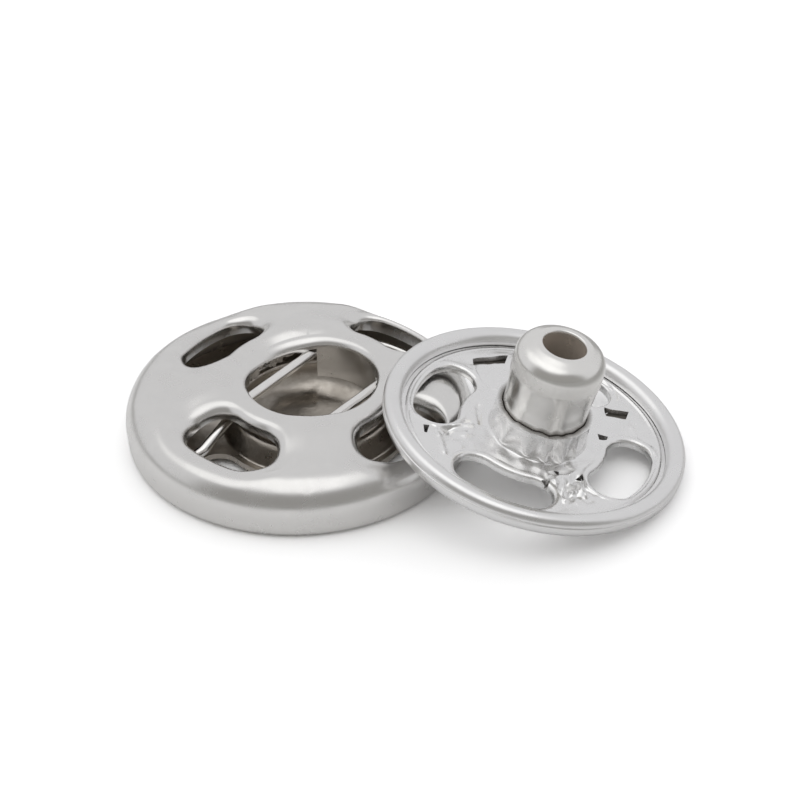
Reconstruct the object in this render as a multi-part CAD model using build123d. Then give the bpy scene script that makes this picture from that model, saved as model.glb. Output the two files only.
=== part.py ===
from build123d import *
from math import asin, cos, degrees, hypot, radians, sin
import os

os.makedirs("parts", exist_ok=True)

# A sew-on snap fastener, in millimetres: the socket half lies mouth up on the table, and the
# stud half leans on its shoulder. The origin is on the axis of the socket's mouth, at the table,
# and +Z is up.

# Sheets, wire and small clearances
cover_sheet = 0.38
plate_sheet = 0.35
post_sheet = 0.30
wire_diameter = 0.65
layer_clearance = 0.02
collar_clearance = 0.06
rest_clearance = 0.03

# Socket cover: a drawn cap with a hem folded under it
socket_diameter = 21.0
shoulder_height = 3.67
shoulder_radius = 2.02
hem_width = 1.6
hem_radius = 0.6
mouth_offset = (0.85, 0.45)
mouth_radius = 3.95
lip_radius = 0.45
lip_width = 1.2
boss_rise = 0.53
boss_foot_radius = 6.3
boss_blend = 1.5
collar_bottom = 1.35

# Four sewing holes, struck through the cover with their edges drawn down
sewing_holes = 4
socket_hole_azimuth = 48.0
socket_hole_radius = 7.2
socket_hole_half_span = 10.5
socket_hole_width = 3.5
socket_hole_lip = 1.0
socket_hole_rounding = 0.32
socket_back_hole_width = 2.6

# Socket back plate, with a closed cup that takes the stud's head
back_edge_clearance = 0.04
cup_ridge_width = 0.82
cup_ridge_height = 2.2
cup_ridge_radius = 0.4
cup_floor_radius = 0.4

# Spring: one wire, two straight legs across the mouth and two feet turned outwards
leg_azimuth = 50.0
leg_offset = 2.68
leg_drop = 1.3
leg_window_clearance = 0.17
leg_straight = 3.3
loop_wall_gap = 0.15
foot_end = 100.0
foot_steps = 4
wire_corner = 0.9
wire_knee = 1.5

# Stud half, in its own frame: its axis is Z, and height 0 is the middle of the rolled rim
stud_diameter = 18.6
rim_height = 0.5
underside_depth = 1.0
rim_foot_radius = 1.0
rim_top_radius = 0.42
rim_width = 1.15
stud_plate_gap = 0.05
face_edge_clearance = 0.55
stud_hole_azimuth = 70.0
stud_hole_radius = 6.05
stud_hole_half_span = 16.5
stud_hole_width = 2.7
stud_hole_rounding = 0.2
stud_boss_radius = 3.85
stud_boss_rise = 0.3
stud_boss_blend = 0.45
stud_collar_height = 1.58
stud_collar_blend = 0.35

# Post: a drawn hollow stem with a round head, standing a little to one side of the rim's axis
post_offset = 0.2
neck_radius = 2.6
head_radius = 2.88
neck_height = 3.6
head_height = 4.4
head_blend = 0.8
nose_height = 5.3
nose_radius = 2.05
nose_blend = 1.2
nose_round = 0.7
post_height = 6.38
top_hole_radius = 1.32
top_lip_depth = 0.5
top_lip_radius = 0.35
flange_radius = 3.5
post_fillet = 0.32

# Lanced windows in the stud's face plate: azimuth, radius, turn, length along the cut, width
windows = [(112.0, 6.75, 0.0, 2.3, 0.75), (31.2, 6.15, 64.0, 1.55, 0.75),
           (195.0, 6.9, 80.0, 0.7, 0.4), (7.5, 4.33, 0.0, 0.5, 0.5)]

# How the stud half lies: the heading of its lean and where its axis stands on the table
lean_heading = -7.47
lean_reach = 14.55
lean_side = -2.30


def turned_sheet(points, radii, thickness):
    """A turned shell: one face follows the points, and the sheet lies to the left of the line."""
    line = FilletPolyline(*points, radius=radii)
    section = make_face(line.offset_2d(thickness, kind=Kind.ARC, side=Side.LEFT, closed=True))
    return revolve(Plane.XZ * section, Axis.Z)


def kidney(radius, half_span, width):
    """A curved slot about the axis, centred on azimuth 0."""
    return SlotArc(CenterArc((0, 0), radius, -half_span, 2 * half_span), width)


def slots(radius, half_span, width, first_azimuth, low, high):
    """The four kidney slots as cutting blocks between two heights."""
    block = extrude(Plane.XY.offset(low) * kidney(radius, half_span, width), high - low)
    return [Rot(Z=first_azimuth + 360 / sewing_holes * i) * block for i in range(sewing_holes)]


def rim_edges(body, outline, low):
    """Edges of a body above a height whose middles lie on an outline seen from above."""
    found = []
    for edge in body.edges():
        middle = edge @ 0.5
        flat = Vertex(middle.X, middle.Y, 0)
        if middle.Z > low and outline.distance_to(flat) < 0.002:
            found.append(edge)
    return found


def draw_holes(body, envelope, radius, half_span, width, first_azimuth, lip, rounding, thickness):
    """Strikes the sewing holes and turns their edges down by the depth of the lip."""
    low, high = lip
    collars = slots(radius, half_span, width + 2 * thickness, first_azimuth, low, high)
    holes = slots(radius, half_span, width, first_azimuth, low - 1, high + 1)
    for collar in collars:
        body = body + (collar & envelope)
    for hole in holes:
        body = body - hole
    flat = kidney(radius, half_span, width)
    for i in range(sewing_holes):
        outline = (Rot(Z=first_azimuth + 360 / sewing_holes * i) * flat).wires()[0]
        body = fillet(rim_edges(body, outline, low + rounding), rounding)
    return body


# The mouth, the holes, the cup and the spring share one axis, and the skirt has its own
skirt_axis = Pos(-mouth_offset[0], -mouth_offset[1], 0)
socket_radius = socket_diameter / 2
boss_reach = boss_foot_radius + 0.5
lip_height = shoulder_height + boss_rise
leg_height = lip_height - leg_drop
loop_radius = (socket_radius - hypot(*mouth_offset) - cover_sheet - wire_diameter / 2
               - loop_wall_gap)


def cover_envelope():
    """Everything inside the outer face of the cover, taken as solid."""
    line = FilletPolyline((0, 0), (socket_radius, 0), (socket_radius, shoulder_height),
                          (0, shoulder_height), radius=[hem_radius, shoulder_radius])
    section = make_face(Wire(line.edges() + [Line((0, shoulder_height), (0, 0)).edge()]))
    return skirt_axis * revolve(Plane.XZ * section, Axis.Z)


def make_socket_cover():
    """The drawn cap: skirt, shoulder, raised boss, rolled lip and the collar in the mouth."""
    skirt = skirt_axis * turned_sheet(
        [(socket_radius - hem_width, 0), (socket_radius, 0), (socket_radius, shoulder_height),
         (0, shoulder_height)], [hem_radius, shoulder_radius], cover_sheet)
    skirt = skirt - Cylinder(boss_reach, 4 * shoulder_height)
    boss = turned_sheet(
        [(boss_reach, shoulder_height), (boss_foot_radius, shoulder_height),
         (mouth_radius + lip_width, lip_height), (mouth_radius, lip_height),
         (mouth_radius, collar_bottom)], [boss_blend, boss_blend, lip_radius], cover_sheet)
    cover = skirt + boss
    lip = (shoulder_height - socket_hole_lip, shoulder_height + cover_sheet)
    hole_envelope = cover_envelope() + Pos(0, 0, shoulder_height / 2) * Cylinder(
        boss_reach, shoulder_height)
    cover = draw_holes(cover, hole_envelope, socket_hole_radius, socket_hole_half_span,
                       socket_hole_width, socket_hole_azimuth, lip, socket_hole_rounding,
                       cover_sheet)
    return cover - spring_windows()


def spring_windows():
    """Two windows in the collar, below the rolled lip, where the spring's legs cross the mouth."""
    inner = leg_offset - wire_diameter / 2 - collar_clearance
    reach = mouth_radius + cover_sheet + collar_clearance
    top = leg_height + wire_diameter / 2 + leg_window_clearance
    height = top - collar_bottom + 1
    ring = Pos(0, 0, top - height / 2) * Cylinder(reach, height)
    gap = Rot(Z=leg_azimuth) * Pos(0, 0, top - height / 2) * Box(4 * reach, 2 * inner, 2 * height)
    return ring - gap


def make_socket_back_plate():
    """The plate over the hem, with a ridge round a closed cup that reaches the table."""
    floor = cover_sheet + layer_clearance
    top = floor + plate_sheet
    cup = mouth_radius + cover_sheet + collar_clearance
    ridge = cup + cup_ridge_width
    edge = socket_radius - hem_radius - back_edge_clearance
    join = ridge + 2 * plate_sheet
    pressed = turned_sheet(
        [(join, top), (ridge, top), (ridge, cup_ridge_height), (cup, cup_ridge_height),
         (cup, plate_sheet), (0, plate_sheet)],
        [plate_sheet / 2, cup_ridge_radius, cup_ridge_radius, cup_floor_radius], plate_sheet)
    disc = skirt_axis * Pos(0, 0, floor + plate_sheet / 2) * Cylinder(edge, plate_sheet)
    plate = pressed + (disc - Cylinder(join, 4 * shoulder_height))
    for hole in slots(socket_hole_radius, socket_hole_half_span, socket_back_hole_width,
                      socket_hole_azimuth, 0, shoulder_height):
        plate = plate - hole
    return plate


def on_loop(angle, height):
    """A point of the spring's loop, by its angle from the direction of the legs."""
    return (loop_radius * cos(radians(angle)), loop_radius * sin(radians(angle)), height)


def make_spring_wire():
    """One bent wire: foot, leg, hairpin, leg and foot, lying on the back plate between its bends."""
    low = cover_sheet + plate_sheet + 2 * layer_clearance + wire_diameter / 2
    turn = degrees(asin(leg_offset / loop_radius))
    step = (180 - turn - foot_end) / foot_steps
    foot = [on_loop(foot_end + step * i, low) for i in range(foot_steps + 1)]
    half = foot + [(-leg_straight, leg_offset, leg_height), (leg_straight, leg_offset, leg_height),
                   on_loop(turn, low)]
    points = half + [on_loop(0, low)] + [(x, -y, z) for x, y, z in reversed(half)]
    bend = 0.9 * loop_radius
    side = [bend] * (foot_steps - 1) + [wire_corner, wire_knee, wire_knee, wire_corner]
    radii = side + [bend] + list(reversed(side))
    path = FilletPolyline(*points, radius=radii)
    section = Plane(origin=path @ 0, z_dir=path % 0) * Circle(wire_diameter / 2)
    wire = sweep(section, path=path)
    print(f"spring wire: length {path.length:.2f}, volume {wire.volume:.3f}, "
          f"section times length {path.length * section.area:.3f}")
    return Rot(Z=leg_azimuth) * wire


stud_radius = stud_diameter / 2
stud_back_top = plate_sheet - underside_depth
stud_face_low = stud_back_top + stud_plate_gap
stud_face_top = stud_face_low + plate_sheet
curl_inner = stud_radius - rim_width
post_axis = Pos(post_offset, 0, 0)


def make_stud_back_plate():
    """The stud's back plate, with its edge curled up and over the face plate."""
    plate = turned_sheet(
        [(0, -underside_depth), (stud_radius, -underside_depth), (stud_radius, rim_height),
         (curl_inner, rim_height), (curl_inner, stud_face_top + layer_clearance)],
        [rim_foot_radius, rim_top_radius, rim_top_radius], plate_sheet)
    for hole in slots(stud_hole_radius, stud_hole_half_span,
                      stud_hole_width + 2 * plate_sheet + 2 * collar_clearance,
                      stud_hole_azimuth, -2 * underside_depth, 0):
        plate = plate - hole
    return plate


def window_block(azimuth, radius, turn, length, width):
    """A narrow trapezoid block, wider at its outer edge, where the face plate was lanced."""
    taper = 0.15 * length
    outline = Polygon((-width / 2, taper - length / 2), (width / 2, -length / 2),
                      (width / 2, length / 2), (-width / 2, length / 2 - taper), align=None)
    return Rot(Z=azimuth) * Pos(radius, 0, 0) * Rot(Z=turn) * extrude(outline, 2, both=True)


def make_stud_face_plate():
    """The stud's face plate: a raised boss, a collar turned up round the post and four webs."""
    edge = stud_radius - plate_sheet - face_edge_clearance
    collar = neck_radius + collar_clearance
    boss_top = stud_face_top + stud_boss_rise
    join = stud_boss_radius + 2 * stud_boss_blend
    boss = turned_sheet(
        [(join, stud_face_top), (stud_boss_radius + stud_boss_rise, stud_face_top),
         (stud_boss_radius, boss_top), (collar + plate_sheet, boss_top),
         (collar + plate_sheet, stud_collar_height)],
        [stud_boss_blend, stud_boss_blend, stud_collar_blend], plate_sheet)
    web = Pos(0, 0, stud_face_low + plate_sheet / 2) * Cylinder(edge, plate_sheet)
    plate = (web - post_axis * Cylinder(join, 4 * underside_depth)) + post_axis * boss
    envelope = Pos(0, 0, stud_face_top - underside_depth / 2) * Cylinder(edge, underside_depth)
    lip = (-underside_depth, stud_face_top + plate_sheet)
    plate = draw_holes(plate, envelope, stud_hole_radius, stud_hole_half_span, stud_hole_width,
                       stud_hole_azimuth, lip, stud_hole_rounding, plate_sheet)
    for window in windows:
        plate = plate - window_block(*window)
    return plate


def make_stud_post():
    """The hollow post: flange, neck, head with a short straight band, nose and turned-in lip."""
    flange_top = stud_back_top + layer_clearance + post_sheet
    return post_axis * turned_sheet(
        [(flange_radius, flange_top), (neck_radius, flange_top), (neck_radius, neck_height),
         (head_radius, head_height), (head_radius, nose_height), (nose_radius, post_height),
         (top_hole_radius, post_height),
         (top_hole_radius, post_height - top_lip_depth - top_lip_radius)],
        [post_fillet, head_blend, head_blend, nose_blend, nose_round, top_lip_radius], post_sheet)


def resting_lean():
    """The tilt at which the rim's foot is on the table and the underside on the shoulder."""
    ring = socket_radius - shoulder_radius
    ring_height = shoulder_height - shoulder_radius
    low, high = radians(2), radians(40)
    for _ in range(50):
        tilt = (low + high) / 2
        axis_height = stud_axis_height(tilt)
        plane = lean_reach * sin(tilt) + axis_height * cos(tilt) - underside_depth
        shoulder = ring * sin(tilt) + ring_height * cos(tilt) + shoulder_radius + rest_clearance
        low, high = (tilt, high) if plane < shoulder else (low, tilt)
    return tilt


def stud_axis_height(tilt):
    """Height of the rim's centre when its lowest point stands a rest clearance off the table."""
    return (rest_clearance + rim_foot_radius + (stud_radius - rim_foot_radius) * sin(tilt)
            + (underside_depth - rim_foot_radius) * cos(tilt))


lean = resting_lean()
stud_place = (skirt_axis * Rot(Z=lean_heading) * Pos(lean_reach, lean_side, stud_axis_height(lean))
              * Rot(Y=degrees(lean)) * Rot(Z=-lean_heading))
print(f"lean {degrees(lean):.2f} degrees, rim centre at {stud_place.position}")

pieces = {
    "socket_cover": make_socket_cover(),
    "socket_back_plate": make_socket_back_plate(),
    "spring_wire": make_spring_wire(),
    "stud_back_plate": stud_place * make_stud_back_plate(),
    "stud_face_plate": stud_place * make_stud_face_plate(),
    "stud_post": stud_place * make_stud_post(),
}
for name, piece in pieces.items():
    export_step(piece, f"parts/{name}.step")
    print(name, f"volume {piece.volume:.2f} mm3", "valid" if piece.is_valid else "NOT VALID")
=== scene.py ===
# %% [markdown]
# This lesson dresses a sew-on snap fastener. The imported model gives the frame: every size and
# place is settled there, and this script models the pressed metal over it, with the soft bends,
# torn edges and creases that nickel-plated sheet has when it leaves the press.
# The sizes of the box are kept right after loading, to print them beside the visual model's at the end.

# %% The frame
from math import acos, atan2, ceil, cos, degrees, hypot, pi, radians, sin, sqrt, tan

import bmesh
import bpy
from mathutils import Matrix, Vector, noise


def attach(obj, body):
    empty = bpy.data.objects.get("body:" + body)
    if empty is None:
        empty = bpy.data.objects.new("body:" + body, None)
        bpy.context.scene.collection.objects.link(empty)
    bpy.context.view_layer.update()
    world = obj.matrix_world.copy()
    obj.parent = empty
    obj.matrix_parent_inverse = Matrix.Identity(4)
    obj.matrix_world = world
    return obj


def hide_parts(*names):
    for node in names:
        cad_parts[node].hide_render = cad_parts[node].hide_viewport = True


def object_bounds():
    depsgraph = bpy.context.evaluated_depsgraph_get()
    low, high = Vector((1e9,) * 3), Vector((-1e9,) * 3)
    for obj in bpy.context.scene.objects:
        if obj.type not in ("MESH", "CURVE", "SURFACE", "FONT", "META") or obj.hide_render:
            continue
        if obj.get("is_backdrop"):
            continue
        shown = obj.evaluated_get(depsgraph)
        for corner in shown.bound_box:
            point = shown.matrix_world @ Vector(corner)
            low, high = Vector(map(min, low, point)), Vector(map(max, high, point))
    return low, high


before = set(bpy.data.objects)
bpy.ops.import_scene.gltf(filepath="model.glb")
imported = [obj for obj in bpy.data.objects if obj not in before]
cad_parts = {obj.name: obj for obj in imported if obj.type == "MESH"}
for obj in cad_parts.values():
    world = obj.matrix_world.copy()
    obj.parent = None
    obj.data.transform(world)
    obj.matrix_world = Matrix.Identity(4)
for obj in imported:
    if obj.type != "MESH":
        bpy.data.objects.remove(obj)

cad_box = [list(corner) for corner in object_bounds()]
MM = 0.001
scene = bpy.context.scene
print("nodes in the frame:", ", ".join(sorted(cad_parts)))

# %% [markdown]
# The camera stands in front of the pair and looks down on it by 35 degrees, from about 300 mm
# away through a long lens, so the circles are nearly true ellipses. It could be aimed with a
# Track To constraint, but a plain rotation from three angles is easier to read and to change.

# %% The camera
CAMERA_ELEVATION = radians(35.45)
CAMERA_DISTANCE = 300.0
CAMERA_ROLL = radians(-1.59)
CAMERA_AIM = (5.275, -0.45, 2.021)   # x and y on the table, then the rise across the view
SENSOR = 36.0
FOCAL_PIXELS, PICTURE_WIDTH = 4938.0, 800   # the fitted focal length, in pixels of the picture

back = Vector((0, -cos(CAMERA_ELEVATION), sin(CAMERA_ELEVATION)))
upward = Vector((0, sin(CAMERA_ELEVATION), cos(CAMERA_ELEVATION)))
camera_data = bpy.data.cameras.new("studio_camera")
camera_data.lens = FOCAL_PIXELS / PICTURE_WIDTH * SENSOR
camera_data.sensor_width = SENSOR
camera_data.clip_start = 0.01
camera_data.clip_end = 10.0
camera = bpy.data.objects.new("studio_camera", camera_data)
scene.collection.objects.link(camera)
aim = Vector((CAMERA_AIM[0], CAMERA_AIM[1], 0)) + upward * CAMERA_AIM[2]
turn = Matrix.Rotation(pi / 2 - CAMERA_ELEVATION, 4, "X") @ Matrix.Rotation(CAMERA_ROLL, 4, "Z")
camera.matrix_world = Matrix.Translation((aim + back * CAMERA_DISTANCE) * MM) @ turn
scene.camera = camera
print("camera stands at", [round(v * 1000, 1) for v in camera.matrix_world.translation], "mm")

# %% [markdown]
# A node is easier to read in one line than in five, so the shader trees below are built with
# two helpers. The first adds a node with its properties and inputs: an input is a value, or
# another node's output, which is then linked. The second is a colour that turns into another.

# %% Helpers for shader trees


def add_node(tree, kind, inputs, **properties):
    """Adds a node, sets its properties, and fills or links its inputs by name or number."""
    node = tree.nodes.new(kind)
    for name, value in properties.items():
        setattr(node, name, value)
    for name, value in inputs.items():
        if isinstance(value, bpy.types.NodeSocket):
            tree.links.new(value, node.inputs[name])
        else:
            node.inputs[name].default_value = value
    return node


def blend_colours(tree, factor, first_colour, second_colour):
    """A colour that is the first at factor 0 and the second at factor 1."""
    mix = add_node(tree, "ShaderNodeMix", {"Factor": factor, 6: first_colour, 7: second_colour},
                   data_type="RGBA")
    return mix.outputs[2]


print("helpers ready:", add_node.__name__, "and", blend_colours.__name__)

# %% [markdown]
# Polished nickel shows what stands around it, so the light here is a small room: a pale tent with
# a bright panel overhead, a second one to its left, and a darker side behind the camera. The
# panels make the white lines on the bends, and the dark side makes the grey bands next to them.
# The tent could be built from planes, but a sky that changes with direction has no edges that a
# reflection would show.

# %% The tent of light
scene.view_settings.view_transform = "Standard"
world = bpy.data.worlds.new("light_tent")
scene.world = world
world.use_nodes = True
sky = world.node_tree
sky.nodes.clear()
way = add_node(sky, "ShaderNodeTexCoord", {})


def patch(direction, low, high):
    """A soft patch of the tent: 0 away from a direction, and 1 where the two agree."""
    dot = add_node(sky, "ShaderNodeVectorMath", {0: way.outputs["Generated"]},
                   operation="DOT_PRODUCT")
    dot.inputs[1].default_value = Vector(direction).normalized()
    ramp = add_node(sky, "ShaderNodeMapRange",
                    {"Value": dot.outputs["Value"], "From Min": low, "From Max": high},
                    interpolation_type="SMOOTHSTEP")
    return ramp.outputs["Result"]


PALE, DARK = (0.72, 0.72, 0.73, 1), (0.33, 0.325, 0.315, 1)
LEFT_PANEL, TOP_PANEL = (1.08, 1.08, 1.08, 1), (1.2, 1.2, 1.2, 1)
below_the_top = patch((0, 0, 1), 0.80, 0.62)
in_front = patch((0, -1, 0), 0.20, 0.52)
dark_side = add_node(sky, "ShaderNodeMath", {0: below_the_top, 1: in_front}, operation="MULTIPLY")
tent = blend_colours(sky, dark_side.outputs["Value"], PALE, DARK)
tent = blend_colours(sky, patch((-0.5, 0.1, 1), 0.88, 0.97), tent, LEFT_PANEL)
tent = blend_colours(sky, patch((0, -0.25, 1), 0.86, 0.95), tent, TOP_PANEL)
light = add_node(sky, "ShaderNodeBackground", {"Color": tent})
white = add_node(sky, "ShaderNodeBackground", {})
rays = add_node(sky, "ShaderNodeLightPath", {})
seen = add_node(sky, "ShaderNodeMixShader", {"Fac": rays.outputs["Is Camera Ray"],
                                             1: light.outputs["Background"],
                                             2: white.outputs["Background"]})
add_node(sky, "ShaderNodeOutputWorld", {"Surface": seen.outputs["Shader"]})
print("tent of light with", len(sky.nodes), "nodes")

# %% [markdown]
# The pair lies on a white sheet that fades into the background. Its colour is stronger for the
# camera than for the other rays, so that the paper reads as white while the metal above it
# gets no more light than before, and the shadow stays. For rays that come from the metal as
# reflections, and only for them, the sheet is painted grey with distance. This painted shade
# stands in for the darker room round the table, as the metal's reflections show it.

# %% The white sheet
HALF_SHEET, TABLE = 0.9, -0.00002   # in metres; the table lies a hair below the metal
floor_mesh = bmesh.new()
bmesh.ops.create_grid(floor_mesh, x_segments=1, y_segments=1, size=HALF_SHEET)
bmesh.ops.translate(floor_mesh, verts=floor_mesh.verts, vec=(0, 0, TABLE))
floor_data = bpy.data.meshes.new("white_sheet")
floor_mesh.to_mesh(floor_data)
floor_mesh.free()
white_sheet = bpy.data.objects.new("white_sheet", floor_data)
scene.collection.objects.link(white_sheet)
white_sheet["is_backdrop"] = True

paper = bpy.data.materials.new("white_paper")
paper.use_nodes = True
tree = paper.node_tree
tree.nodes.clear()
LIT_PAPER, SEEN_PAPER = (0.98, 0.98, 0.98, 1), (1.45, 1.45, 1.45, 1)
# Painted shade: the grey that the metal's reflections see on the sheet far from the pair.
PAINTED_FAR_SHADE = (0.47, 0.465, 0.455, 1)
rays = add_node(tree, "ShaderNodeLightPath", {})
place = add_node(tree, "ShaderNodeTexCoord", {})
near_colour = blend_colours(tree, rays.outputs["Is Camera Ray"], LIT_PAPER, SEEN_PAPER)
distance = add_node(tree, "ShaderNodeVectorMath", {0: place.outputs["Object"]}, operation="LENGTH")
far_shade = add_node(tree, "ShaderNodeMapRange", {"Value": distance.outputs["Value"],
                                             "From Min": 17 * MM, "From Max": 42 * MM},
                interpolation_type="SMOOTHSTEP")
shade_in_reflections = add_node(tree, "ShaderNodeMath", {0: far_shade.outputs["Result"],
                                             1: rays.outputs["Is Glossy Ray"]}, operation="MULTIPLY")
paper_colour = blend_colours(tree, shade_in_reflections.outputs["Value"], near_colour, PAINTED_FAR_SHADE)
surface = add_node(tree, "ShaderNodeBsdfDiffuse", {"Color": paper_colour})
add_node(tree, "ShaderNodeOutputMaterial", {"Surface": surface.outputs["BSDF"]})
white_sheet.data.materials.append(paper)
print("white sheet", [round(v, 3) for v in white_sheet.dimensions])

# %% [markdown]
# Nickel plate is a warm pale metal. On a cheap stamped part it is neither a mirror nor brushed:
# tumbling leaves it satin, with fine pits. The finish is one recipe with a few numbers for each
# piece: a noise mottles the roughness and shifts the tint, and a finer noise raises a very
# shallow bump. Both read Object coordinates, so the pattern stays on the metal. The hidden side
# of a sheet takes the plating badly, so it is a dull brown. It is also darkened as painted shade
# for the gaps and hollows where it is seen, most of all on the stud's plates. An attribute
# on the mesh, which the pieces below set, says which side is which.

# %% The nickel finish
HIDDEN_SIDE = "second_skin"   # the attribute's name: 1 on the hidden side of a sheet


def nickel(name, tint, dull_tint, rough, rough_spread, bump, bump_size, mottle_size, back_and_shade=None):
    """A plated sheet: mottled roughness, a shallow bump, a tint that drifts, and a dull back that is
    partly painted shade.
    """
    material = bpy.data.materials.new(name)
    material.use_nodes = True
    tree = material.node_tree
    tree.nodes.clear()
    place = add_node(tree, "ShaderNodeTexCoord", {}).outputs["Object"]
    mottle = add_node(tree, "ShaderNodeTexNoise", {"Vector": place, "Scale": 1 / (mottle_size * MM),
                                                   "Detail": 5.0, "Roughness": 0.6}).outputs["Fac"]
    shine = add_node(tree, "ShaderNodeMapRange", {"Value": mottle, "From Min": 0.3, "From Max": 0.7,
                                                  "To Min": rough - rough_spread,
                                                  "To Max": rough + rough_spread})
    colour = blend_colours(tree, mottle, (*tint, 1), (*dull_tint, 1))
    grain = add_node(tree, "ShaderNodeTexNoise", {"Vector": place, "Scale": 1 / (bump_size * MM),
                                                  "Detail": 3.0})
    relief = add_node(tree, "ShaderNodeBump", {"Height": grain.outputs["Fac"], "Strength": 1.0,
                                               "Distance": bump * MM})
    metallic = 1.0
    # The hidden side gets the back colour: the poorly plated metal's dull brown, darkened as painted
    # shade for the gaps it faces.
    if back_and_shade is not None:
        hidden = add_node(tree, "ShaderNodeAttribute", {}, attribute_name=HIDDEN_SIDE).outputs["Fac"]
        colour = blend_colours(tree, hidden, colour, (*back_and_shade, 1))
        metallic = add_node(tree, "ShaderNodeMapRange", {"Value": hidden, "To Min": 1.0,
                                                         "To Max": 0.35}).outputs["Result"]
    metal = add_node(tree, "ShaderNodeBsdfPrincipled", {"Base Color": colour, "Metallic": metallic,
                                                        "Roughness": shine.outputs["Result"],
                                                        "Normal": relief.outputs["Normal"]})
    add_node(tree, "ShaderNodeOutputMaterial", {"Surface": metal.outputs["BSDF"]})
    print("finish", name, "with", len(tree.nodes), "nodes")
    return material


satin_nickel = nickel("satin_nickel", (0.82, 0.81, 0.795), (0.74, 0.73, 0.715),
                      0.25, 0.05, 0.001, 0.3, 1.6, (0.50, 0.45, 0.39))
inner_nickel = nickel("inner_nickel", (0.66, 0.62, 0.57), (0.40, 0.36, 0.31),
                      0.33, 0.10, 0.03, 0.5, 1.1)
spring_nickel = nickel("spring_nickel", (0.90, 0.89, 0.87), (0.82, 0.80, 0.78),
                       0.20, 0.05, 0.003, 0.2, 0.8)
# The rim's and the web's hidden sides are near black: painted shade for the gap between the stud's
# plates, seen through the windows.
rim_nickel = nickel("rim_nickel", (0.88, 0.875, 0.87), (0.82, 0.815, 0.81),
                    0.30, 0.05, 0.004, 0.35, 1.4, (0.22, 0.20, 0.18))
web_nickel = nickel("web_nickel", (0.90, 0.895, 0.89), (0.83, 0.825, 0.82),
                    0.26, 0.07, 0.016, 0.45, 0.9, (0.16, 0.145, 0.13))
post_nickel = nickel("post_nickel", (0.88, 0.87, 0.85), (0.81, 0.80, 0.775),
                     0.24, 0.06, 0.006, 0.5, 1.3, (0.62, 0.55, 0.48))

# %% [markdown]
# Every stamping here starts as a line: the section of the sheet. A few corners joined by edges are
# enough, because the vertex bevel rounds each corner to its bend and the edges are then cut
# into short runs. That keeps the section readable: corners and bend radii, as on a die drawing.
# The wall comes last. A Solidify modifier would give it too, but an extrusion can weigh each
# normal by the size of its faces, which matters next to the small faces of a cut edge, and it
# tells which skin is the hidden one.

# %% Sections of sheet


def bent_line(corners, bends, run):
    """The points of a line through corners (radius, height), with rounded bends and short runs."""
    line = bmesh.new()
    stops = [line.verts.new((r, 0, z)) for r, z in corners]
    for start, end in zip(stops, stops[1:]):
        line.edges.new((start, end))
    for before, stop, after, bend in zip(corners, stops[1:-1], corners[2:], bends):
        here = Vector((stop.co.x, stop.co.z))
        deflection = (here - Vector(before)).angle(Vector(after) - here)
        if bend > 0:
            bmesh.ops.bevel(line, geom=[stop], offset=bend * tan(deflection / 2),
                            offset_type="OFFSET", segments=max(3, ceil(deflection * bend / run)),
                            profile=0.5, affect="VERTICES", material=-1)
    for edge in list(line.edges):
        cuts = ceil(edge.calc_length() / run) - 1
        if cuts > 0:
            bmesh.ops.subdivide_edges(line, edges=[edge], cuts=cuts)
    line.verts.ensure_lookup_table()
    ends = [v for v in line.verts if len(v.link_edges) == 1]
    here = min(ends, key=lambda v: (Vector((v.co.x, v.co.z)) - Vector(corners[0])).length)
    points, edge = [(here.co.x, here.co.z)], None
    while len(here.link_edges) > 1 or edge is None:
        edge = next(e for e in here.link_edges if e != edge)
        here = edge.other_vert(here)
        points.append((here.co.x, here.co.z))
    line.free()
    return points


def spun(points, steps):
    """A sheet with no thickness: the line of points turned once about Z."""
    sheet = bmesh.new()
    stops = [sheet.verts.new((r, 0, z)) for r, z in points]
    for start, end in zip(stops, stops[1:]):
        sheet.edges.new((start, end))
    bmesh.ops.spin(sheet, geom=sheet.verts[:] + sheet.edges[:], cent=(0, 0, 0), axis=(0, 0, 1),
                   dvec=(0, 0, 0), angle=2 * pi, steps=steps, use_merge=True)
    bmesh.ops.remove_doubles(sheet, verts=sheet.verts, dist=0.0005)
    return sheet


def thicken(sheet, thickness, good_side):
    """Turns a sheet to its good side, gives it a wall and marks the hidden skin."""
    bmesh.ops.remove_doubles(sheet, verts=sheet.verts, dist=0.002)
    bmesh.ops.recalc_face_normals(sheet, faces=sheet.faces)
    facing = sum((face.normal * face.calc_area() for face in sheet.faces), Vector())
    if facing.dot(Vector(good_side)) < 0:
        bmesh.ops.reverse_faces(sheet, faces=sheet.faces)
    sheet.normal_update()
    inward = sheet.verts.layers.float_vector.new("inward")
    skin = sheet.verts.layers.float.get(HIDDEN_SIDE) or sheet.verts.layers.float.new(HIDDEN_SIDE)
    for vert in sheet.verts:
        out = sum((face.normal * face.calc_area() for face in vert.link_faces), Vector())
        vert[inward] = -out.normalized() * thickness
    inner = bmesh.ops.extrude_face_region(sheet, geom=sheet.faces[:], use_keep_orig=True)["geom"]
    for vert in (g for g in inner if isinstance(g, bmesh.types.BMVert)):
        vert.co += vert[inward]
        vert[skin] = 1.0
    bmesh.ops.recalc_face_normals(sheet, faces=sheet.faces)
    return sheet


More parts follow.
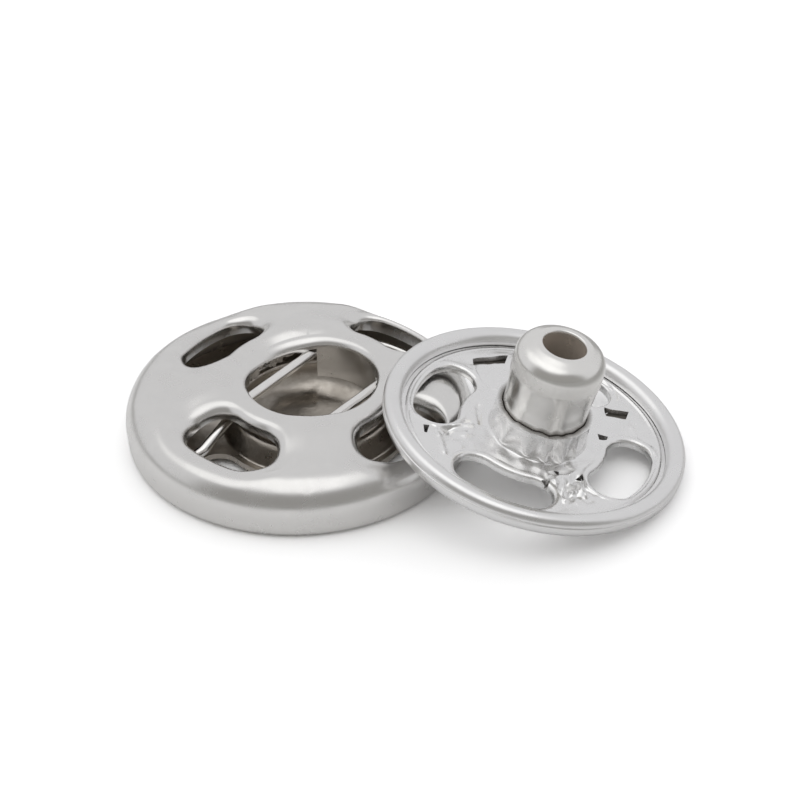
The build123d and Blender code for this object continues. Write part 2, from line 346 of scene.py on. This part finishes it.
def show(sheet, name, node, material, place=Matrix.Identity(4), crease=42):
    """Makes the finished piece: in metres, in place, smooth but for its sharp edges."""
    bmesh.ops.transform(sheet, matrix=Matrix.Scale(MM, 4) @ place, verts=sheet.verts)
    for face in sheet.faces:
        face.smooth = True
    for edge in sheet.edges:
        if edge.is_manifold and edge.calc_face_angle(0) > radians(crease):
            edge.smooth = False
    data = bpy.data.meshes.new(name)
    sheet.to_mesh(data)
    sheet.free()
    piece = bpy.data.objects.new(name, data)
    scene.collection.objects.link(piece)
    data.materials.append(material)
    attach(piece, "root")
    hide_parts(node)
    print(name, len(data.polygons), "faces,", [round(v * 1000, 2) for v in piece.dimensions], "mm")
    return piece


# %% [markdown]
# Both halves have four kidney-shaped sewing holes, and their edges are drawn down into the sheet.
# A Boolean would cut the holes, but it leaves long thin faces that ripple in polished metal. Here
# each quarter of the sheet is grown outwards from its hole instead: the first ring is the deepest
# edge of the hole, the next rings climb the wall and its rounding, and the last ones spread over
# the quarter until they meet the two rims. Where a hole comes close to a rim, its rounding is
# made smaller, because rings that overshoot the rim would fold. The height of the sheet is
# a function of place, so the same rings serve a flat plate and a domed cover.

# %% Quarters with a kidney hole
ARC_ROWS = 6                       # rows of faces round a hole's drawn edge
OUTER_SHARE, OTHER_SHARE = 0.42, 0.62   # how much of the way to a rim that edge may take
SPREAD_POWER = 1.25                # above 1, the rows are closest together at the hole


def polar(radius, azimuth, centre=(0, 0)):
    """A point from its radius and azimuth about a centre."""
    return Vector((centre[0] + radius * cos(radians(azimuth)),
                   centre[1] + radius * sin(radians(azimuth))))


def rim_circle(radius, centre=(0, 0)):
    """A function that gives the point of a circle at an azimuth."""
    return lambda azimuth: polar(radius, azimuth, centre)


def ease(low, high, value):
    """A smooth step from 0 at low to 1 at high."""
    share = max(0.0, min(1.0, (value - low) / (high - low)))
    return share * share * (3 - 2 * share)


def grow(sheet, lines):
    """Grows a band from its first ring: each extrusion moves every column to its next point."""
    column = sheet.verts.layers.int.get("column") or sheet.verts.layers.int.new("column")
    ring = bmesh.ops.create_circle(sheet, segments=len(lines), radius=1)["verts"]
    for i, vert in enumerate(ring):
        vert[column] = i
        vert.co = lines[i][0]
    edges = list(dict.fromkeys(edge for vert in ring for edge in vert.link_edges))
    for row in range(1, len(lines[0])):
        grown = bmesh.ops.extrude_edge_only(sheet, edges=edges)["geom"]
        edges = [g for g in grown if isinstance(g, bmesh.types.BMEdge)]
        for vert in (g for g in grown if isinstance(g, bmesh.types.BMVert)):
            vert.co = lines[vert[column]][row]


def grow_round(sheet, start, steps, column):
    """Grows a band whose columns are a function of the azimuth and the unit vector there."""
    azimuths = [start + 360 * i / steps for i in range(steps)]
    grow(sheet, [column(azimuth, polar(1, azimuth)) for azimuth in azimuths])


def walk(parts, count):
    """Evenly spaced (point, outward) pairs along parts of (length, function of share)."""
    total = sum(length for length, _ in parts)
    found = []
    for i in range(count):
        distance = total * i / count
        for length, at in parts:
            if distance <= length:
                found.append(at(distance / length))
                break
            distance -= length
    return found


def kidney_outline(radius, half_span, width, columns):
    """The outline of a kidney centred on azimuth 0, as (point, outward), in four stretches."""
    span, half = radians(half_span), width / 2

    def cap(end, first, last):
        centre = Vector((radius * cos(end), radius * sin(end)))

        def at(share):
            angle = end + radians(first + (last - first) * share)
            out = Vector((cos(angle), sin(angle)))
            return centre + out * half, out
        return half * radians(abs(last - first)), at

    def side(sign, first, last):
        def at(share):
            angle = first + (last - first) * share
            out = Vector((cos(angle), sin(angle)))
            return out * (radius + sign * half), out * sign
        return (radius + sign * half) * abs(last - first), at

    outer, right, inner, left = columns
    return (walk([cap(-span, -45, 0), side(1, -span, span), cap(span, 0, 45)], outer)
            + walk([cap(span, 45, 135)], right)
            + walk([cap(span, 135, 180), side(-1, span, -span), cap(-span, -180, -135)], inner)
            + walk([cap(-span, -135, -45)], left))


def hole_distance(x, y, kidneys):
    """How far a point lies outside the nearest of the four kidneys; negative is inside."""
    reach, best = hypot(x, y), 99.0
    for radius, half_span, width, azimuth in kidneys:
        angle = (degrees(atan2(y, x)) - azimuth + 180) % 360 - 180
        near = radians(angle - max(-half_span, min(half_span, angle)))
        best = min(best, hypot(reach * cos(near) - radius, reach * sin(near)) - width / 2)
    return best


def pierced_quarters(sheet, kidneys, columns, inner_rim, outer_rim, height, lip, rounding, rows):
    """Adds four quarters of sheet to a bmesh, each with a kidney hole and a drawn edge."""
    outer, right, inner, left = columns
    for quarter, (radius, half_span, width, azimuth) in enumerate(kidneys):
        outline = kidney_outline(radius, half_span, width, columns)
        middle = kidneys[0][3] + 90 * quarter
        spin = Matrix.Rotation(radians(azimuth), 2)
        rim = [outer_rim(middle - 45 + 90 * i / outer) for i in range(outer)]
        far = [outer_rim(middle + 45), inner_rim(middle + 45)]
        rim += [far[0].lerp(far[1], i / right) for i in range(right)]
        rim += [inner_rim(middle + 45 - 90 * i / inner) for i in range(inner)]
        near = [inner_rim(middle - 45), outer_rim(middle - 45)]
        rim += [near[0].lerp(near[1], i / left) for i in range(left)]
        lines = []
        for (point, out), edge in zip(outline, rim):
            foot, out = spin @ point, spin @ out
            outside = min((point - foot).length for point in rim[:outer])
            elsewhere = min((point - foot).length for point in rim[outer:])
            turn = min(rounding, OUTER_SHARE * outside, OTHER_SHARE * elsewhere)
            start = foot + out * turn
            top = height(*start)
            line = [(*foot, top - lip), (*foot, top - (lip + turn) / 2)] if lip > turn else []
            for i in range(ARC_ROWS):
                angle = radians(90 * i / ARC_ROWS)
                spot = foot + out * turn * (1 - cos(angle))
                line.append((*spot, top - min(lip, turn) * (1 - sin(angle))))
            for i in range(rows + 1):
                spot = start.lerp(edge, (i / rows) ** SPREAD_POWER)
                line.append((*spot, height(*spot)))
            lines.append(line)
        grow(sheet, lines)


# %% [markdown]
# The socket's cover is the largest piece. Its outline is a turned cap, but its middle is not: the
# mouth, its raised ring and the holes were struck a little off the cap's centre, and the ring runs
# out over the four webs while a shallow hollow lies round each hole. At the back left the ring
# was pressed down into a funnel. One height function says all that, and the mouth and the
# skirt are bands that carry on from its two rims.
# The spring's windows are torn through the collar by taking out faces, with noise in the limit,
# and the second skin is then held inside the first where a bend is tighter than the sheet is thick.

# %% The socket's cover
SHEET = 0.38
CAP_CENTRE = (-0.85, -0.45)
CAP_RADIUS, CAP_HEIGHT, SHOULDER = 10.5, 3.67, 2.02
HEM_WIDTH, HEM = 1.6, 0.6
DRAFT = 0.13
MOUTH, LIP_HEIGHT, LIP = 3.95, 4.2, 0.45
COLLAR_BOTTOM = 1.35
RING = 4.6       # the quarters begin on this circle, and the rolled lip is a band inside it
SPREAD = 10.0    # they end on this one, and the rest of the shoulder is a band
SOCKET_KIDNEYS = [(7.15, 10.5, 2.7, 48.0), (7.45, 11.0, 2.9, 138.0), (7.3, 10.5, 3.5, 228.0),
                  (7.2, 10.5, 3.5, 318.0)]
COVER_LIP, COVER_ROUNDING, COVER_ROWS = 1.0, 0.75, 22
FUNNEL, FUNNEL_AZIMUTH = 0.62, 133
FLARE, FLARE_AZIMUTH = 0.14, 128
LEG_AZIMUTH, LEG_OFFSET, WIRE = 50.0, 2.68, 0.65
LEG_TOP = LIP_HEIGHT - 1.3 + WIRE / 2
CAP_ROWS = 8


def cap_height(x, y):
    """The cap's own top: flat, then the quarter-round shoulder."""
    beyond = hypot(x - CAP_CENTRE[0], y - CAP_CENTRE[1]) - (CAP_RADIUS - SHOULDER)
    if beyond <= 0:
        return CAP_HEIGHT
    return CAP_HEIGHT - SHOULDER + sqrt(max(0.0, SHOULDER ** 2 - min(beyond, SHOULDER) ** 2))


def cover_height(x, y):
    """The cap's top with the mouth's ring, its funnel, the webs and the hollows round the holes."""
    reach = hypot(x, y)
    dome = (LIP_HEIGHT - CAP_HEIGHT) * (1 - ease(4.9, 8.7, reach))
    hollow = 1 - ease(0.5, 1.9, hole_distance(x, y, SOCKET_KIDNEYS))
    sag = hollow * (0.11 + 0.18 * ease(5.6, 8.8, reach))
    slant = max(0.0, cos(atan2(y, x) - radians(FUNNEL_AZIMUTH))) ** 2
    sag += FUNNEL * slant * (1 - ease(4.1, 5.5, reach))
    wave = 0.022 * noise.noise(Vector((x * 0.45, y * 0.45, 1.7))) * ease(4.9, 5.6, reach)
    return min(cap_height(x, y) + dome - sag + wave, LIP_HEIGHT - 0.004 * ease(4.9, 5.2, reach))


def mouth_column(azimuth, out):
    """One column of the rolled lip and the collar under it, flared a little at the back left."""
    start = cover_height(*(out * RING)) - LIP_HEIGHT
    flare = FLARE * max(0.0, cos(radians(azimuth - FLARE_AZIMUTH))) ** 2
    return [(*(out * r), z + (start - flare * ease(RING, 4.0, r)) * ease(2.2, 3.8, z))
            for r, z in mouth_line]


def skirt_column(azimuth, out):
    """One column of the shoulder's end, the skirt and the hem, from where the quarters end."""
    rise = cover_height(*(Vector(CAP_CENTRE) + out * SPREAD)) - cap_line[0][1]
    column = [(CAP_CENTRE[0] + out.x * r, CAP_CENTRE[1] + out.y * r, z + rise * (1 - n / CAP_ROWS))
              for n, (r, z) in enumerate(cap_line)]
    return column + [(CAP_CENTRE[0] + out.x * r, CAP_CENTRE[1] + out.y * r, z)
                     for r, z in skirt_line[1:]]


def in_window(face):
    """Tells whether a face of the collar is torn out: beside the legs, up to a ragged edge."""
    middle = face.calc_center_median()
    across = abs(along.x * middle.y - along.y * middle.x)
    ragged = 0.6 * noise.noise(middle * 1.9) - 0.45 * ease(3.1, 3.6, across)
    inside = middle.xy.length < MOUTH + 0.2 and middle.z < LEG_TOP + 0.17 + ragged
    return inside and across > LEG_OFFSET - WIRE / 2 - 0.06


cover = bmesh.new()
columns = (36, 14, 26, 14)
pierced_quarters(cover, SOCKET_KIDNEYS, columns, rim_circle(RING), rim_circle(SPREAD, CAP_CENTRE),
                 cover_height, COVER_LIP, COVER_ROUNDING, COVER_ROWS)
first = SOCKET_KIDNEYS[0][3] - 45
mouth_line = bent_line([(RING, LIP_HEIGHT), (MOUTH, LIP_HEIGHT), (MOUTH, COLLAR_BOTTOM)], [LIP], 0.12)
grow_round(cover, first, 4 * columns[2], mouth_column)
top_angle = degrees(acos((SPREAD - CAP_RADIUS + SHOULDER) / SHOULDER))
cap_line = [(CAP_RADIUS - SHOULDER + SHOULDER * cos(radians(top_angle * (1 - i / CAP_ROWS))),
             CAP_HEIGHT - SHOULDER + SHOULDER * sin(radians(top_angle * (1 - i / CAP_ROWS))))
            for i in range(CAP_ROWS + 1)]
skirt_line = bent_line([(CAP_RADIUS, CAP_HEIGHT - SHOULDER), (CAP_RADIUS - DRAFT, 0),
                        (CAP_RADIUS - HEM_WIDTH, 0)], [HEM], 0.2)
grow_round(cover, first, 4 * columns[0], skirt_column)
along = polar(1, LEG_AZIMUTH)
bmesh.ops.delete(cover, geom=[face for face in cover.faces if in_window(face)], context="FACES")
thicken(cover, SHEET, (0, 0, 1))
skin = cover.verts.layers.float[HIDDEN_SIDE]
centre = Vector(CAP_CENTRE)
for vert in cover.verts:
    if vert[skin] == 1.0:
        spoke = vert.co.xy - centre
        if spoke.length > CAP_RADIUS - SHEET / 2:
            vert.co.xy = centre + spoke.normalized() * (CAP_RADIUS - SHEET)
        vert.co.z = min(vert.co.z, cover_height(vert.co.x, vert.co.y) - 0.12)
show(cover, "pressed_socket_cover", "socket_cover", satin_nickel)

# %% [markdown]
# The post is a deep-drawn thimble: a flange that is trapped between the plates, a slightly narrower
# neck, a round head with a soft nose, and an open end where the drawn metal was pierced and its
# edge turned in. It is a pure turning, so one bent line and one spin make it, and a second skin
# inside gives the wall. The turned-in edge is hidden metal too, so it fades to the dull finish.

# %% The stud's place and its post
STUD_CENTRE = (13.2775, -4.6221, 3.1799)
LEAN, HEADING = radians(15.01), radians(-7.47)
stud_place = (Matrix.Translation(STUD_CENTRE) @ Matrix.Rotation(HEADING, 4, "Z")
              @ Matrix.Rotation(LEAN, 4, "Y") @ Matrix.Rotation(-HEADING, 4, "Z"))
PLATE, POST_WALL = 0.35, 0.30
NECK, HEAD, POST_TOP, TOP_HOLE, POST_OFFSET = 2.57, 2.76, 6.38, 1.32, 0.2
FLANGE, FLANGE_HEIGHT = 3.5, -0.33
POST_STEPS = 120

post_line = bent_line([(FLANGE, FLANGE_HEIGHT), (NECK, FLANGE_HEIGHT), (NECK, 2.5), (HEAD, 4.3),
                       (HEAD, 5.82), (1.66, POST_TOP), (TOP_HOLE, POST_TOP), (TOP_HOLE, 5.9),
                       (1.22, 4.4)], [0.32, 2.5, 2.2, 1.0, 0.5, 0.16, 0.5], 0.12)
post = spun(post_line, POST_STEPS)
for vert in post.verts:
    flats = noise.noise(Vector((vert.co.x * 0.5, vert.co.y * 0.5, vert.co.z * 0.35 + 4)))
    share = 0.008 * ease(1.7, 2.4, vert.co.z) * (1 - ease(3.4, 4.4, vert.co.z))
    vert.co.xy = vert.co.xy * (1 + share * flats)
turned_in = post.verts.layers.float.new(HIDDEN_SIDE)
for vert in post.verts:
    vert[turned_in] = ease(1.42, 1.33, vert.co.xy.length) * ease(6.33, 6.1, vert.co.z)
bmesh.ops.translate(post, verts=post.verts, vec=(POST_OFFSET, 0, 0))
thicken(post, POST_WALL, (0, 0, 1))
show(post, "drawn_post", "stud_post", post_nickel, stud_place)

# %% [markdown]
# The stud's back plate is a shallow dish whose edge is curled right over the face plate. The curl
# is the bright round rim of this half, with a thin line round it where the press left a step. The
# dish has the same four holes, a little wider, so its quarters are grown as the cover's are, and
# the curl is the band beyond them.

# %% The stud's back plate and rolled rim
UNDERSIDE, RIM_TOP, STUD_RADIUS, RIM_WIDTH = 1.0, 0.5, 9.3, 1.15
FACE_TOP = PLATE - UNDERSIDE + 0.05 + PLATE
GROOVE = 0.06
DISH_INNER, DISH_OUTER = 3.2, 8.3   # the circles between which the dish is quarters
HUB = 0.4                           # a plate's middle is one small face of this radius
FACE_KIDNEYS = [(6.05, 16.5, 2.7, 70.0), (6.0, 15.5, 2.8, 160.0), (6.05, 17.0, 2.7, 250.0),
                (5.95, 15.5, 2.8, 337.0)]
BACK_KIDNEYS = [(radius, half_span, width + 2 * PLATE + 0.12, azimuth)
                for radius, half_span, width, azimuth in FACE_KIDNEYS]


def fill_hub(sheet):
    """Closes the small hole that the bands leave in the middle of a plate."""
    hub = [edge for edge in sheet.edges if max(v.co.xy.length for v in edge.verts) < HUB + 0.01]
    bmesh.ops.holes_fill(sheet, edges=hub, sides=0)


rim = bmesh.new()
columns = (28, 10, 16, 10)
pierced_quarters(rim, BACK_KIDNEYS, columns, rim_circle(DISH_INNER), rim_circle(DISH_OUTER),
                 lambda x, y: -UNDERSIDE, 0, 0.06, 6)
curl_line = bent_line([(DISH_OUTER, -UNDERSIDE), (STUD_RADIUS, -UNDERSIDE), (STUD_RADIUS, -0.10),
                       (STUD_RADIUS - GROOVE, -0.05), (STUD_RADIUS, 0.0), (STUD_RADIUS, RIM_TOP),
                       (STUD_RADIUS - RIM_WIDTH, RIM_TOP), (STUD_RADIUS - RIM_WIDTH, FACE_TOP + 0.02)],
                      [0.8, 0.03, 0.02, 0.03, 0.49, 0.60], 0.08)
start = BACK_KIDNEYS[0][3] - 45
grow_round(rim, start, 4 * columns[0],
           lambda azimuth, out: [(out.x * r, out.y * r, z) for r, z in curl_line])
grow_round(rim, start, 4 * columns[2], lambda azimuth, out: [
    (out.x * r, out.y * r, -UNDERSIDE) for r in (DISH_INNER, 2.2, 1.2, HUB)])
fill_hub(rim)
thicken(rim, PLATE, (0, 0, -1))
show(rim, "curled_rim", "stud_back_plate", rim_nickel, stud_place)

# %% [markdown]
# The face plate carries the collar that grips the post. Its webs are creased where the press
# pushed the metal about. One height function has the waviness, patches of the webs are cut finer
# and crumpled, and a few lines are then pressed in as ridges or grooves. Small windows are lanced
# through the webs: each is cut with planes along its sides, which keeps its edges straight, and
# the first one has a flap that is bent down from its inner side. Three torn corners are windows
# with three sides. As on the cover, the second skin is held under the first.

# %% The stud's face plate
COLLAR = NECK + 0.03 + PLATE
COLLAR_TOP = 1.58
FACE_EDGE = STUD_RADIUS - PLATE - 0.55
POST_AXIS = Vector((POST_OFFSET, 0))
BOSS, QUARTER_EDGE = 3.5, 7.66   # the circles between which the plate is quarters
FACE_LIP, FACE_ROUNDING, FACE_ROWS = 0.5, 0.28, 12
EDGE_CLEAR = 0.25                # creases keep this far from the holes' drawn edges
# dents at the collar's foot: azimuth, width in degrees, depth
DENTS = ((-68.0, 5.0, 0.62), (-86.0, 5.0, 0.55), (-50.0, 5.0, 0.50), (-106.0, 7.0, 0.35),
         (-138.0, 9.0, 0.30))
# crumpled patches: radius, azimuth, reach, depth, size of the folds, cuts
CRUMPLES = ((5.4, -68, 2.2, 0.34, 0.8, 2), (5.5, 200, 2.2, 0.10, 0.9, 1), (6.0, 24, 1.5, 0.08, 0.9, 1),
            (5.4, 118, 2.0, 0.05, 0.7, 1))
# pressed lines: start, end, width, and rise, which is negative for a groove
CREASES = (((-6.0, -1.7), (-5.6, -3.8), 0.16, 0.16), ((-5.05, -0.6), (-3.8, -0.25), 0.16, -0.16),
           ((-5.15, -0.95), (-3.9, -0.7), 0.18, 0.14), ((-5.2, -1.1), (-5.45, -3.1), 0.18, -0.12),
           ((-4.9, -1.7), (-4.0, -1.6), 0.3, 0.12), ((-3.4, 1.5), (-3.3, -0.2), 0.14, -0.16),
           ((-3.57, 5.3), (-3.5, 2.9), 0.16, 0.09), ((5.9, 2.65), (6.4, 1.1), 0.16, 0.12),
           ((-2.8, 3.3), (-2.2, 3.45), 0.10, 0.07), ((0.9, -4.2), (1.6, -6.4), 0.14, 0.15),
           ((2.5, -4.2), (2.9, -5.6), 0.14, 0.15), ((1.9, -4.4), (2.0, -6.2), 0.14, -0.16))
# windows: the radius and azimuth of each corner
FLAP_WINDOW = ((7.05, 120.8), (7.15, 101.2), (6.33, 104.8), (6.52, 123.1))
FLAP_SIDE, FLAP_DROP, FLAP_REACH, FLAP_BEND = 2, 0.45, 0.42, (0.15, 0.35, 0.5)
OPEN_WINDOWS = (((5.67, 37.8), (7.09, 31.1), (6.50, 25.9), (5.36, 30.7)),
                ((4.10, 12.9), (4.69, 9.5), (4.51, 3.5), (4.07, 4.2)),
                ((6.99, 192.2), (6.61, 192.3), (6.94, 197.8), (7.09, 197.4)))
TORN_CORNERS = (((4.75, -86.5), (5.20, -82.5), (4.70, -80.0)),
                ((4.55, -57.5), (4.95, -54.0), (4.50, -51.0)),
                ((3.70, -73.0), (4.15, -70.0), (3.70, -67.0)))


def face_height(x, y):
    """The face plate's top: a soft ridge round each hole and a little waviness in the webs."""
    away = hole_distance(x, y, FACE_KIDNEYS)
    wave = noise.noise(Vector((x * 0.8, y * 0.8, 3.1))) * 0.13 * ease(0.1, 0.9, away)
    ridge = 0.10 * ease(0.15, 0.3, away) * (1 - ease(0.3, 0.55, away))
    return FACE_TOP + ridge + wave * (1 - ease(7.2, 7.6, hypot(x, y)))


def bell(offset):
    """A rounded bump: 1 at offset 0, and next to nothing beyond 2."""
    return 2.718 ** -(offset ** 2)


def crumple(sheet, spot, reach, depth, size, cuts):
    """Cuts a patch of the sheet finer and pushes it about, most in its middle."""
    def near(vert):
        away = hole_distance(vert.co.x, vert.co.y, FACE_KIDNEYS)
        level = face_height(vert.co.x, vert.co.y)
        flat = away > EDGE_CLEAR and abs(vert.co.z - level) < 0.02
        return (vert.co.xy - spot).length < reach and flat

    edges = [edge for edge in sheet.edges if all(near(vert) for vert in edge.verts)]
    bmesh.ops.subdivide_edges(sheet, edges=edges, cuts=cuts, use_grid_fill=True)
    for vert in sheet.verts:
        if near(vert):
            away = hole_distance(vert.co.x, vert.co.y, FACE_KIDNEYS)
            strength = depth * (1 - ease(0.35, 1.0, (vert.co.xy - spot).length / reach))
            strength *= ease(EDGE_CLEAR, 0.5, away)
            fold = noise.noise(Vector((vert.co.x / size, vert.co.y / size, 9.3)))
            vert.co.z += strength * (0.5 - 2.2 * abs(fold))


def crease(sheet, start, end, width, rise):
    """Presses a rounded line into the webs: a ridge, or a groove where the rise is negative."""
    run = end - start
    for vert in sheet.verts:
        away = hole_distance(vert.co.x, vert.co.y, FACE_KIDNEYS)
        if away > EDGE_CLEAR and abs(vert.co.z - FACE_TOP) < 0.45:
            share = max(0.0, min(1.0, (vert.co.xy - start).dot(run) / run.length_squared))
            off = (vert.co.xy - start - run * share).length / width
            vert.co.z += rise * bell(off) * ease(EDGE_CLEAR, 0.5, away)


def strike(sheet, corners, flap=None, drop=0.0, reach=0.0):
    """Lances a window with straight sides, and bends a flap down from one of them."""
    middle = sum(corners, Vector((0, 0))) / len(corners)
    wide = max((corner - middle).length for corner in corners) + 0.7

    def on_web(face):
        centre = face.calc_center_median()
        return (centre.xy - middle).length < wide and abs(centre.z - FACE_TOP) < 0.6

    sides = []
    for a, b in zip(corners, corners[1:] + corners[:1]):
        normal = Vector((b.y - a.y, a.x - b.x)).normalized()
        if normal.dot(middle - a) > 0:
            normal = -normal
        sides.append((a, normal))
        faces = [face for face in sheet.faces if on_web(face)]
        edges = list(dict.fromkeys(edge for face in faces for edge in face.edges))
        verts = list(dict.fromkeys(vert for face in faces for vert in face.verts))
        bmesh.ops.bisect_plane(sheet, geom=faces + edges + verts, dist=0.0004,
                               plane_co=(*a, 0), plane_no=(*normal, 0))
    gone = [face for face in sheet.faces if on_web(face) and all(
        (face.calc_center_median().xy - a).dot(normal) < 0 for a, normal in sides)]
    bmesh.ops.delete(sheet, geom=gone, context="FACES")
    if flap is not None:
        a, normal = sides[flap]
        b = corners[(flap + 1) % len(corners)]
        hinge = [edge for edge in sheet.edges if edge.is_boundary and all(
            abs((v.co.xy - a).dot(normal)) < 0.01 and abs(v.co.z - FACE_TOP) < 0.6
            and -0.01 < (v.co.xy - a).dot(b - a) / (b - a).length < (b - a).length + 0.01
            for v in edge.verts)]
        for bend in FLAP_BEND:
            grown = bmesh.ops.extrude_edge_only(sheet, edges=hinge)["geom"]
            hinge = [g for g in grown if isinstance(g, bmesh.types.BMEdge)]
            for vert in (g for g in grown if isinstance(g, bmesh.types.BMVert)):
                vert.co.xy -= normal * reach / len(FLAP_BEND)
                vert.co.z -= drop * bend


def edge_column(azimuth, out):
    """One column of the plate's edge: a small bead, then flat under the rolled rim."""
    level = face_height(*(out * QUARTER_EDGE)) - FACE_TOP
    return [(*(out * r), FACE_TOP + z + level * (1 - ease(QUARTER_EDGE, 7.9, r))) for r, z in edge_line]


def collar_column(azimuth, out):
    """One column of the collar, with the dents at its foot and its ragged top edge."""
    level = face_height(*(POST_AXIS + out * BOSS)) - FACE_TOP
    ragged = (0.09 * noise.noise(Vector((out.x * 3, out.y * 3, 7.7)))
              + 0.05 * noise.noise(Vector((out.x * 11, out.y * 11, 2.7))))
    dent = 0.0
    for middle, width, depth in DENTS:
        dent += depth * bell(((azimuth - middle + 180) % 360 - 180) / width)
    column = []
    for r, z in collar_line:
        share = (z - FACE_TOP) / (COLLAR_TOP - FACE_TOP)
        r_out = r + dent * ease(0.0, 0.2, share) * (1 - share) + 0.02 * ease(0.8, 1.0, share)
        column.append((*(POST_AXIS + out * r_out), z + level * (1 - share) + ragged * share))
    return column


face_plate = bmesh.new()
columns = (34, 16, 30, 16)
pierced_quarters(face_plate, FACE_KIDNEYS, columns, rim_circle(BOSS, POST_AXIS),
                 rim_circle(QUARTER_EDGE), face_height, FACE_LIP, FACE_ROUNDING, FACE_ROWS)
start = FACE_KIDNEYS[0][3] - 45
edge_line = [(QUARTER_EDGE, 0), (7.71, 0.05), (7.77, 0.09), (7.84, 0.07), (7.9, 0.0), (8.0, -0.02),
             (8.2, -0.02), (FACE_EDGE, -0.02)]
grow_round(face_plate, start, 4 * columns[0], edge_column)
collar_line = bent_line([(BOSS, FACE_TOP), (COLLAR, FACE_TOP), (COLLAR, COLLAR_TOP)], [0.26], 0.09)
grow_round(face_plate, start, 4 * columns[2], collar_column)
bmesh.ops.remove_doubles(face_plate, verts=face_plate.verts, dist=0.002)
for radius, azimuth, reach, depth, size, cuts in CRUMPLES:
    crumple(face_plate, polar(radius, azimuth), reach, depth, size, cuts)
for start, end, width, rise in CREASES:
    crease(face_plate, Vector(start), Vector(end), width, rise)
strike(face_plate, [polar(*corner) for corner in FLAP_WINDOW], FLAP_SIDE, FLAP_DROP, FLAP_REACH)
for corners in OPEN_WINDOWS + TORN_CORNERS:
    strike(face_plate, [polar(*corner) for corner in corners])
thicken(face_plate, PLATE, (0, 0, 1))
skin = face_plate.verts.layers.float[HIDDEN_SIDE]
for vert in face_plate.verts:
    if vert[skin] == 1.0 and (vert.co.xy - POST_AXIS).length > BOSS + 0.2:
        vert.co.z = min(vert.co.z, FACE_TOP - 0.2)
show(face_plate, "creased_face_plate", "stud_face_plate", web_nickel, stud_place)

# %% [markdown]
# The socket's back plate is seen through the mouth and the holes. Round the mouth it rises in
# a ridge that slopes down to the holes, and its cup was drawn deep and left as it came, so its
# floor is uneven and its corner is wide. The spring wire is bent round rod, which the frame's
# own solid already gives, so it only gets a procedural finish.

# %% The socket's back plate and the spring
PLATE_LOW = SHEET + 0.02
PLATE_TOP = PLATE_LOW + PLATE
CUP = MOUTH + SHEET + 0.06
RIDGE_FOOT, RIDGE_TOP = 5.6, 2.2
CUP_START = 3   # the azimuth of the first column, between two quarters
THROUGH_KIDNEYS = [(7.2, 10.5, 2.6, 48.0 + 90 * i) for i in range(4)]


def cup_column(azimuth, out):
    """One column of the ridge, the cup's wall and its uneven floor."""
    column = []
    for r, z in cup_line:
        dent = max(0.0, 0.10 + 0.16 * noise.noise(Vector((out.x * r * 0.55, out.y * r * 0.55, 5.5))))
        column.append((*(out * r), z + dent * (1 - ease(3.6, 4.3, r))))
    return column


back_plate = bmesh.new()
columns = (24, 8, 24, 8)
pierced_quarters(back_plate, THROUGH_KIDNEYS, columns, rim_circle(RIDGE_FOOT),
                 rim_circle(CAP_RADIUS - HEM - 0.04, CAP_CENTRE), lambda x, y: PLATE_TOP, 0, 0.1, 5)
cup_line = bent_line([(RIDGE_FOOT, PLATE_TOP), (5.48, PLATE_TOP), (4.95, RIDGE_TOP), (CUP, RIDGE_TOP),
                      (CUP, PLATE), (HUB, PLATE)], [0.15, 0.3, 0.25, 1.5], 0.14)
grow_round(back_plate, CUP_START, 4 * columns[2], cup_column)
fill_hub(back_plate)
thicken(back_plate, PLATE, (0, 0, 1))
show(back_plate, "drawn_cup_plate", "socket_back_plate", inner_nickel)
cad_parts["spring_wire"].data.materials.clear()
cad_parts["spring_wire"].data.materials.append(spring_nickel)
print("spring wire finished")

# %% [markdown]
# Both boxes, the imported one and the visual one, are printed. The visual model has to stay
# within the box of the imported one.

# %% Sizes and the end
visual_box = [list(corner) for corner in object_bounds()]
print("cad box", [[round(v * 1000, 2) for v in c] for c in cad_box])
print("visual box", [[round(v * 1000, 2) for v in c] for c in visual_box])
